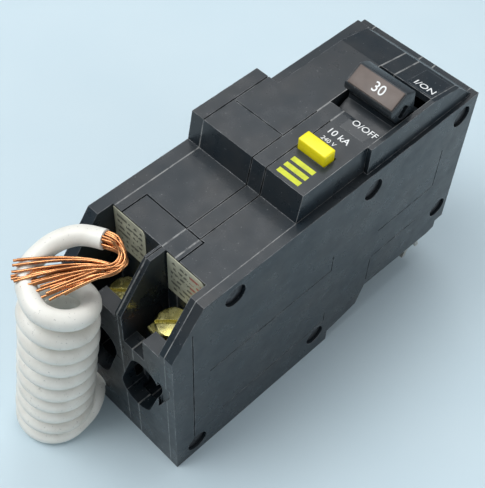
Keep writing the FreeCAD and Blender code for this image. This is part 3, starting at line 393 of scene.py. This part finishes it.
def black_moulding(name, finishes, gloss=0.30, wear=0.75, seams=()):
    """Glossy black phenolic with rubbed corners, painted highlight lines along the seams and fine
    scratches.
    """
    surface = Surface(name, coat=0.05)
    surface.shader.inputs["Specular IOR Level"].default_value = 0.34
    brown = tuple(c * k for c, k in zip(finishes.moulding, (2.1, 1.5, 1.25)))
    base = surface.blend(surface.ramp(surface.noise(70.0, 5.0), (0.40, 0.0), (0.68, 1.0)),
                         tuple(finishes.moulding), brown)
    rubbed = surface.product(surface.worn_edges(0.30 * MM, 0.86, 0.985),
                             surface.ramp(surface.noise(330.0, 5.0), (0.42, 0.12), (0.60, wear)))
    edged = surface.blend(rubbed, base, tuple(finishes.worn))
    if seams:
        # painted highlight: lighter grey lines along the seams, only on faces that don't look along
        # Y, broken up by noise
        lines = None
        for letter, centre, width in seams:
            line = surface.line(letter, centre, width)
            lines = line if lines is None else surface.maths("MAXIMUM", lines, line)
        seam_highlight = surface.product(lines, surface.facing("Y"))
        patchy_highlight = surface.ramp(surface.noise(420.0, 4.0), (0.36, 0.10), (0.56, 0.85))
        edged = surface.blend(surface.product(seam_highlight, patchy_highlight), edged, (0.26, 0.265, 0.26))
    specks = surface.ramp(surface.noise(2100.0, 2.0, 0.4), (0.715, 0.0), (0.77, 0.5))
    dusted = surface.blend(specks, edged, (0.25, 0.26, 0.27))
    marks = surface.ramp(surface.noise(160.0, 6.0, 0.7, stretch=(1.0, 0.12, 1.0)),
                         (0.66, 0.0), (0.74, 0.30))
    surface.colour(surface.blend(marks, dusted, (0.085, 0.09, 0.095)))
    surface.roughness(surface.ramp(surface.noise(240.0, 4.0), (0.3, gloss - 0.07),
                                   (0.7, gloss + 0.10)))
    surface.rounded(0.22 * MM, surface.noise(600.0, 4.0), 0.08, 0.0001)
    return surface.material


def printed_card(name, finishes, low, high, red_from):
    """Soiled card with rows of plain dark and red bars in place of print."""
    surface = Surface(name, roughness=0.5)
    soiled = surface.blend(surface.ramp(surface.noise(220.0, 5.0), (0.38, 0.0), (0.70, 1.0)),
                           tuple(finishes.card), tuple(c * 0.62 for c in finishes.card))
    row = surface.maths("FRACT", surface.product(surface.axis("Z"), 1 / (1.9 * MM)))
    rows = surface.maths("LESS_THAN", row, 0.46)
    words = surface.ramp(surface.noise(1.0, 1.0, stretch=(1.0, 900.0, 526.0)),
                         (0.46, 0.0), (0.50, 1.0))
    inside = None
    for letter in "YZ":
        index = "XYZ".index(letter)
        middle, reach = (low[index] + high[index]) / 2, (high[index] - low[index]) - 2.2 * MM
        line = surface.line(letter, middle, reach)
        inside = line if inside is None else surface.product(inside, line)
    print_mask = surface.product(surface.product(rows, words), inside)
    reddish = surface.maths("LESS_THAN", surface.axis("Y"), red_from)
    ink = surface.blend(reddish, (0.035, 0.035, 0.03), (0.34, 0.03, 0.025))
    surface.colour(surface.blend(surface.product(print_mask, 0.85), soiled, ink))
    surface.rounded(0.1 * MM, surface.noise(700.0, 3.0), 0.1, 0.0001)
    return surface.material


def sleeve(name, finishes):
    """Ivory-white insulation, slightly soiled."""
    surface = Surface(name, roughness=0.42)
    soil = surface.ramp(surface.noise(120.0, 5.0), (0.45, 0.0), (0.75, 0.55))
    soiled = surface.blend(soil, tuple(finishes.sleeve), (0.52, 0.49, 0.42))
    specks = surface.ramp(surface.noise(1500.0, 2.0), (0.66, 0.0), (0.72, 0.5))
    surface.colour(surface.blend(specks, soiled, (0.30, 0.30, 0.29)))
    surface.rounded(0.05 * MM, surface.noise(900.0, 3.0), 0.15, 0.0001)
    return surface.material


def metal(name, colour, second, roughness=0.3, scale=400.0, relief=0.08):
    """Bare or plated metal with a drifting tint."""
    surface = Surface(name, metallic=1.0)
    surface.colour(surface.blend(surface.ramp(surface.noise(scale, 3.0), (0.35, 0.0), (0.7, 1.0)),
                                 colour, second))
    surface.roughness(surface.ramp(surface.noise(scale * 2, 4.0, stretch=(1, 1, 1)),
                                   (0.3, roughness - 0.1), (0.75, roughness + 0.15)))
    surface.rounded(0.12 * MM, surface.noise(scale * 3, 3.0), relief, 0.0001)
    return surface.material


def plastic(name, colour, roughness=0.4, speckle=0.25, relief=0.1):
    """Plain moulded plastic or film with a little drift in tone."""
    surface = Surface(name)
    darker = tuple(c * (1.0 - speckle) for c in colour)
    surface.colour(surface.blend(surface.ramp(surface.noise(500.0, 5.0), (0.4, 0.0), (0.75, 1.0)),
                                 tuple(colour), darker))
    surface.roughness(surface.ramp(surface.noise(300.0, 3.0), (0.3, roughness - 0.06),
                                   (0.7, roughness + 0.08)))
    surface.rounded(0.15 * MM, surface.noise(1200.0, 3.0), relief, 0.0001)
    return surface.material


def finish_node(name, material):
    """Give a CAD sub-component a better material."""
    item = bpy.data.objects[name]
    item.data.materials.clear()
    item.data.materials.append(material)


# ------------------------------------------------------------------ operators
class BREAKER_OT_pigtail(bpy.types.Operator):
    """Wind the white pigtail: lead, standing coil and the loop over it"""
    bl_idname = "breaker.pigtail"
    bl_label = "Pigtail"

    def execute(self, context):
        sizes = context.scene.breaker_pigtail
        foot = at(-12.75, 34.1, 0.0)
        lean = Vector((3.75, -8.0, 57.5)) * MM
        left_side = Vector((-0.707, 0.707, 0))
        front_side = Vector((-0.727, -0.686, 0))
        points = [at(x, GLAND_Y, GLAND_Z) for x in (3.2, 0.6, -1.4)]
        points += [at(-3.2, 27.6, 6.2), at(-6.8, 26.0, 4.2)]
        loop = [at(-13.9, 30.4, 62.4), at(-11.0, 33.9, 63.0), at(-7.8, 34.3, 64.2),
                at(-3.2, 34.1, 65.4), at(1.0, 31.9, 66.4), at(3.1, 28.9, 67.2),
                at(4.5, 25.7, 67.5)]
        per_turn = 14
        flat_share = 0.18
        last = round(sizes.turns * per_turn)
        for step in range(last + 1):
            share = step / last
            angle = math.radians(-70) - step * math.tau / per_turn
            rise = sizes.diameter / 2 + sizes.pitch * max(0.0, step / per_turn - flat_share)
            rise += 3.2 * MM * share ** 8  # the last turn is pulled up by the loop
            middle = foot + lean * (rise / lean.z)
            radius = sizes.turn_radius + (sizes.top_radius - sizes.turn_radius) * share
            radius += 0.22 * MM * math.sin(0.37 * step) * math.sin(0.05 * step)
            spoke = Vector((math.cos(angle), math.sin(angle), 0.0)) * radius
            leaning = 0.20 * spoke.dot(left_side) + 0.25 * spoke.dot(front_side)
            points.append(Vector((middle.x, middle.y, rise + leaning * share ** 2.0)) + spoke)
        points += loop

        pigtail = wire("pigtail", [points], sizes.diameter / 2, 3, 4, 5)
        finish_with(pigtail, sleeve("Ivory insulation", context.scene.breaker_finishes), "case")
        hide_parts("pigtail_lead", "pigtail_coil", "pigtail_top_loop")

        strands = self.strands(context, points[-1], (points[-1] - points[-2]).normalized())
        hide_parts("pigtail_strands")
        return {"FINISHED"}

    def strands(self, context, tip, ahead):
        """Bare copper strands that leave the insulation and fold back over the coil."""
        sizes = context.scene.breaker_pigtail
        across = ahead.cross(UP).normalized()
        golden = math.radians(137.5)
        bundle_radius = 1.9 * MM
        paths = []
        middles = (at(-0.7, 26.6, 66.3), at(-2.4, 24.3, 65.7), at(-3.4, 20.9, 65.0))
        ends = (at(-12.2, 35.6, 65.6), at(-14.2, 30.9, 64.0), at(-9.8, 22.4, 63.4))

        def fanned(places, share):
            return (places[0] * (1 - share) * (1 - 2 * share) + places[1] * 4 * share * (1 - share)
                    + places[2] * share * (2 * share - 1))

        for number in range(sizes.strands):
            share = (number + 0.5) / sizes.strands
            spoke = bundle_radius * math.sqrt(((number * 7) % sizes.strands + 0.5) / sizes.strands)
            side = spoke * math.cos(number * golden)
            rise = spoke * math.sin(number * golden)
            wave = math.sin(number * 2.1)
            swell = math.cos(number * 1.7)
            foot = tip + across * side + UP * rise
            lift = UP * 0.45 * rise
            paths.append([
                foot - ahead * 1.5 * MM,
                foot + ahead * 1.8 * MM,
                at(5.7 + 0.3 * wave, 22.4 + 0.5 * swell, 67.4) + lift * 1.6 + across * side * 0.7,
                at(5.0 + 0.6 * wave, 19.0 + 0.7 * swell, 66.4) + lift * 1.2,
                at(1.2 + 0.8 * wave, 18.9 + 0.9 * swell, 65.4) + lift,
                fanned(middles, share) + Vector((0.5 * wave, 0.3 * swell, 0.3 * swell)) * MM + lift,
                fanned(ends, share) + Vector((1.1 * wave, 0.4 * swell, 0.35 * wave)) * MM + lift,
            ])
        bundle = wire("copper_strands", paths, sizes.strand_radius, 4, 5, 2)
        tone = context.scene.breaker_finishes.copper
        copper = metal("Bare copper", tuple(tone), (0.36, 0.15, 0.06), 0.26, 160.0, relief=0.02)
        return finish_with(bundle, copper, "case")


class BREAKER_OT_case(bpy.types.Operator):
    """Finish the mouldings, rivets and inner pieces that come from the construction"""
    bl_idname = "breaker.case"
    bl_label = "Case"

    def execute(self, context):
        finishes = context.scene.breaker_finishes
        # seam places along Y where the black moulding gets painted highlight lines
        seams = [("Y", at(0, y, 0).y, width * MM)
                 for y, width in ((2.5, 0.22), (13.9, 0.42), (18.2, 0.42), (34.2, 0.36))]
        moulding = black_moulding("Black phenolic", finishes, seams=seams)
        for name in ("near_side_cover", "near_case", "pole_divider", "far_case", "far_side_cover",
                     "terminal_insert"):
            finish_node(name, moulding)
        finish_node("handle", black_moulding("Black handle", finishes, 0.42, 0.12))
        zinc = metal("Yellow zinc", (0.74, 0.66, 0.22), (0.60, 0.57, 0.30), 0.24, 260.0,
                     relief=0.03)
        copper = metal("Copper strip", (0.78, 0.42, 0.25), (0.62, 0.32, 0.20), 0.35, 300.0)
        tinned = metal("Tinned jaw", (0.66, 0.62, 0.57), (0.50, 0.44, 0.38), 0.3, 350.0)
        steel = metal("Plain steel", (0.56, 0.56, 0.57), (0.42, 0.42, 0.44), 0.32, 350.0)
        dark = metal("Dark rivet", (0.10, 0.10, 0.105), (0.045, 0.045, 0.05), 0.42, 600.0)
        finishes_by_slot = {
            "yellow_zinc": zinc, "copper": copper, "tinned_jaw": tinned, "steel": steel,
            "rivet_steel": dark,
            "trip_plastic": plastic("Trip bar moulding", (0.36, 0.32, 0.26)),
            "board": plastic("Green laminate", (0.03, 0.17, 0.07), 0.3),
            "winding": metal("Enamelled winding", (0.55, 0.26, 0.11), (0.35, 0.16, 0.08), 0.35,
                             2500.0),
            "components": plastic("Component moulding", (0.03, 0.03, 0.033), 0.45),
        }
        for entry in frame["record"]["subparts"]:
            if entry["material_slot"] in finishes_by_slot:
                finish_node(entry["node"], finishes_by_slot[entry["material_slot"]])
        return {"FINISHED"}


class BREAKER_OT_handle(bpy.types.Operator):
    """Shape the handle's grip, its plate and the plain number on it"""
    bl_idname = "breaker.handle"
    bl_label = "Handle"

    def execute(self, context):
        finishes = context.scene.breaker_finishes
        low, high = node_box("handle")
        near_y, far_y = low.y - 0.12 * MM, high.y + 0.12 * MM
        middle = at(HANDLE_X, 0, 0).x
        crest = at(0, 0, HANDLE_CREST).z
        outline = [(-3.4, 0.6), (3.9, 0.6), (3.3, 2.4), (2.75, 7.45), (-0.9, 9.2), (-5.8, 6.2),
                   (-5.75, 4.4), (-3.2, 1.4)]
        grip = profile("handle_grip", [(middle + x * MM, crest + z * MM) for x, z in outline],
                       near_y, far_y, 0.5 * MM, 4)
        clear_selection()
        bpy.ops.mesh.primitive_cylinder_add(
            vertices=48, radius=1.6 * MM, depth=16 * MM, rotation=(math.radians(90), 0, 0),
            location=(middle - 1.0 * MM, near_y, crest + 3.4 * MM))
        pocket = fresh("pocket")
        pocket.scale = (1.1, 1.6, 1.0)
        pocket.rotation_euler = (math.radians(90), math.radians(-38), 0)
        settle(pocket)
        carve(grip, pocket)
        bpy.ops.object.shade_smooth_by_angle(angle=math.radians(35))
        finish_with(grip, black_moulding("Grip moulding", finishes, 0.26, 0.5), "handle_body")

        slope = Vector((4.9, 0.0, 3.0)).normalized()
        outward = Vector((-slope.z, 0.0, slope.x))
        centre = Vector((middle - 3.35 * MM, (near_y + far_y) / 2, crest + 7.7 * MM))
        centre += outward * 0.12 * MM
        turn = Matrix((slope, Vector((0, -1, 0)), outward)).transposed()
        plate = block("handle_plate", Vector((-2.55, -6.5, -0.2)) * MM,
                      Vector((2.55, 6.95, 0.28)) * MM, 0.18 * MM)
        plate.matrix_world = Matrix.Translation(centre) @ turn.to_4x4()
        settle(plate)
        finish_with(plate, plastic("Rating plate", finishes.plate, 0.45, 0.2), "handle_body")
        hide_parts("handle_rating_plate")
        number = printed("handle_number", "30", 2.6 * MM,
                         centre + outward * 0.30 * MM - Vector((0, 1.1, 0)) * MM,
                         Vector((0, -1, 0)), slope, 0.04 * MM)
        finish_with(number, print_ink(finishes), "handle_body")
        return {"FINISHED"}


def print_ink(finishes, name="White print"):
    existing = bpy.data.materials.get(name)
    return existing or plastic(name, tuple(finishes.print_white), 0.5, 0.2)


def printed(name, text, height, centre, along, up, thick):
    """Flat lettering made a mesh, then laid on a surface along two directions."""
    clear_selection()
    bpy.ops.object.text_add()
    item = bpy.context.active_object
    item.data.body = text
    item.data.size = height * 1.38
    item.data.align_x = "CENTER"
    item.data.align_y = "CENTER"
    item.data.extrude = thick
    item.data.offset = height * 0.012
    bpy.ops.object.convert(target="MESH")
    piece = fresh(name)
    turn = Matrix((along, up, along.cross(up))).transposed()
    piece.matrix_world = Matrix.Translation(centre) @ turn.to_4x4()
    return settle(piece)


class BREAKER_OT_button(bpy.types.Operator):
    """Mould the yellow test button with its soft edges and keeping flange"""
    bl_idname = "breaker.button"
    bl_label = "Test button"

    def execute(self, context):
        low, high = node_box("test_button")
        cap_low = Vector((at(51.0, 0, 0).x, at(0, 5.2, 0).y, low.z + 1.0 * MM))
        cap_high = Vector((at(54.6, 0, 0).x, at(0, 13.6, 0).y, high.z))
        cap = block("button_cap", cap_low, cap_high, 0.45 * MM, 4)
        flange = block("button_flange", low, Vector((high.x, high.y, low.z + 1.4 * MM)), 0.2 * MM)
        button = join("test_button_cap", [cap, flange])
        surface = plastic("Yellow button", tuple(context.scene.breaker_finishes.button), 0.34, 0.12)
        finish_with(button, surface, "button_body")
        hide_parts("test_button")
        return {"FINISHED"}


class BREAKER_OT_markings(bpy.types.Operator):
    """Lay the plain printed marks, the stripes and the terminal labels"""
    bl_idname = "breaker.markings"
    bl_label = "Markings"

    def execute(self, context):
        finishes = context.scene.breaker_finishes
        ink = print_ink(finishes)
        lie = 0.008 * MM
        rooted = 0.1 * MM
        across = Vector((0, -1, 0))
        along = Vector((1, 0, 0))
        crown_x = at(LINE_SLOPE_START, 0, 0).x
        gloss = black_moulding("Glossy pad", finishes, 0.12, 0.3)
        pads = [("pad_off", (62.9, 4.2), (67.2, 11.4), 0.0),
                ("pad_on", (86.2, 3.0), (94.6, 10.6), LINE_SLOPE.z)]
        for name, low, high, fall in pads:
            pad = block(name, at(*low, BLOCK_TOP) - UP * rooted, at(*high, BLOCK_TOP) + UP * lie)
            for vertex in pad.data.vertices:
                vertex.co.z += (vertex.co.x - crown_x) * fall / LINE_SLOPE.x
            finish_with(pad, gloss, "case")
        marks = [
            ("mark_rating", "10 kA", 1.95, (60.3, 9.3)),
            ("mark_volts", "240 V", 1.25, (57.5, 9.9)),
            ("mark_off", "O/OFF", 1.85, (66.35, 6.6)),
            ("mark_on", "I/ON", 2.1, (88.1, 6.3)),
        ]
        for name, text, height, (x, y) in marks:
            place = at(x, y, BLOCK_TOP) + UP * 1.7 * lie
            tilt = along
            if x > LINE_SLOPE_START:
                tilt = LINE_SLOPE
                place.z += (place.x - crown_x) * LINE_SLOPE.z / LINE_SLOPE.x
            finish_with(printed(name, text, height * MM, place, across, tilt, lie), ink, "case")

        stripes = [block(f"stripe_{n}", at(42.6 + 2.3 * n, 5.3, BLOCK_TOP) - UP * rooted,
                         at(44.0 + 2.3 * n, 12.0, BLOCK_TOP) + UP * lie) for n in range(3)]
        finish_with(join("printed_stripes", stripes),
                    plastic("Yellow-green print", tuple(finishes.patch), 0.45, 0.3), "case")

        for side, red in (("near", 9.0), ("far", 0.0)):
            node = side + "_terminal_label"
            low, high = node_box(node)
            card = rounded_card(side + "_card", low, high, 1.5 * MM)
            paper = printed_card(side.title() + " card", finishes, low, high, at(0, red, 0).y)
            finish_with(card, paper, "case")
            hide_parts(node)
        return {"FINISHED"}


class BREAKER_OT_stage(bpy.types.Operator):
    """Set the camera, the floor and soft studio light"""
    bl_idname = "breaker.stage"
    bl_label = "Stage"

    def execute(self, context):
        sizes = context.scene.breaker_stage
        self.camera(context, sizes)
        clear_selection()
        bpy.ops.mesh.primitive_plane_add(size=sizes.floor_size, location=(0, 0, -0.0001))
        floor = settle(fresh("floor"))
        surface = Surface("Pale floor", roughness=0.75)
        surface.colour(surface.blend(surface.noise(30.0, 2.0), (0.50, 0.62, 0.68),
                                     (0.54, 0.65, 0.70)))
        floor.data.materials.append(surface.material)

        world = bpy.data.worlds.new("Studio")
        context.scene.world = world
        world.use_nodes = True
        background = world.node_tree.nodes["Background"]
        background.inputs["Color"].default_value = (0.86, 0.92, 1.0, 1.0)
        background.inputs["Strength"].default_value = sizes.fill
        self.lamp("key_light", (-0.30, 0.25, 0.75), 0.55, 5.5)
        self.lamp("top_light", (0.35, 0.20, 0.80), 0.60, 3.0)
        self.lamp("side_light", (0.10, -0.75, 0.35), 0.50, 1.8)
        context.scene.view_settings.view_transform = "Standard"
        return {"FINISHED"}

    def lamp(self, name, place, size, power):
        lamp = bpy.data.lights.new(name, "AREA")
        lamp.shape = "SQUARE"
        lamp.size = size
        lamp.energy = power
        item = bpy.data.objects.new(name, lamp)
        bpy.context.collection.objects.link(item)
        item.location = place
        aim = Vector((0, 0, 0.03)) - Vector(place)
        item.rotation_euler = aim.to_track_quat("-Z", "Y").to_euler()

    def camera(self, context, sizes):
        lens = bpy.data.cameras.new("camera")
        lens.lens = sizes.lens
        lens.sensor_fit = "VERTICAL"
        lens.sensor_height = 36.0
        lens.clip_start = 0.01
        camera = bpy.data.objects.new("camera", lens)
        context.collection.objects.link(camera)
        right = Vector((0.71354805, -0.69999314, 0.02930499))
        up = Vector((0.5452089, 0.58106307, 0.60424578))
        back = -Vector((0.43999595, 0.41518105, -0.79625891))
        turn = Matrix((right, up, back)).transposed()
        camera.matrix_world = Matrix.Translation((-0.118759, -0.101146, 0.233859)) @ turn.to_4x4()
        context.scene.camera = camera


class BREAKER_PT_panel(bpy.types.Panel):
    """Lists every step in the order in which it is made"""
    bl_idname = "BREAKER_PT_panel"
    bl_label = "Breaker"
    bl_space_type = "VIEW_3D"
    bl_region_type = "UI"
    bl_category = "Breaker"

    def draw(self, context):
        for step in STEPS:
            self.layout.operator(step.bl_idname)


STEPS = (BREAKER_OT_stage, BREAKER_OT_pigtail, BREAKER_OT_case, BREAKER_OT_handle,
         BREAKER_OT_button, BREAKER_OT_markings)
SETTINGS = {"breaker_pigtail": PigtailSizes, "breaker_finishes": Finishes,
            "breaker_stage": StageSizes}
CLASSES = (*SETTINGS.values(), *STEPS, BREAKER_PT_panel)


def register():
    for item in CLASSES:
        bpy.utils.register_class(item)
    for name, group in SETTINGS.items():
        setattr(bpy.types.Scene, name, PointerProperty(type=group))


def unregister():
    for name in SETTINGS:
        delattr(bpy.types.Scene, name)
    for item in reversed(CLASSES):
        bpy.utils.unregister_class(item)


def main():
    register()
    for step in STEPS:
        group, verb = step.bl_idname.split(".")
        if getattr(getattr(bpy.ops, group), verb)() != {"FINISHED"}:
            raise RuntimeError(step.bl_label + " could not finish")


if __name__ == "__main__":
    main()
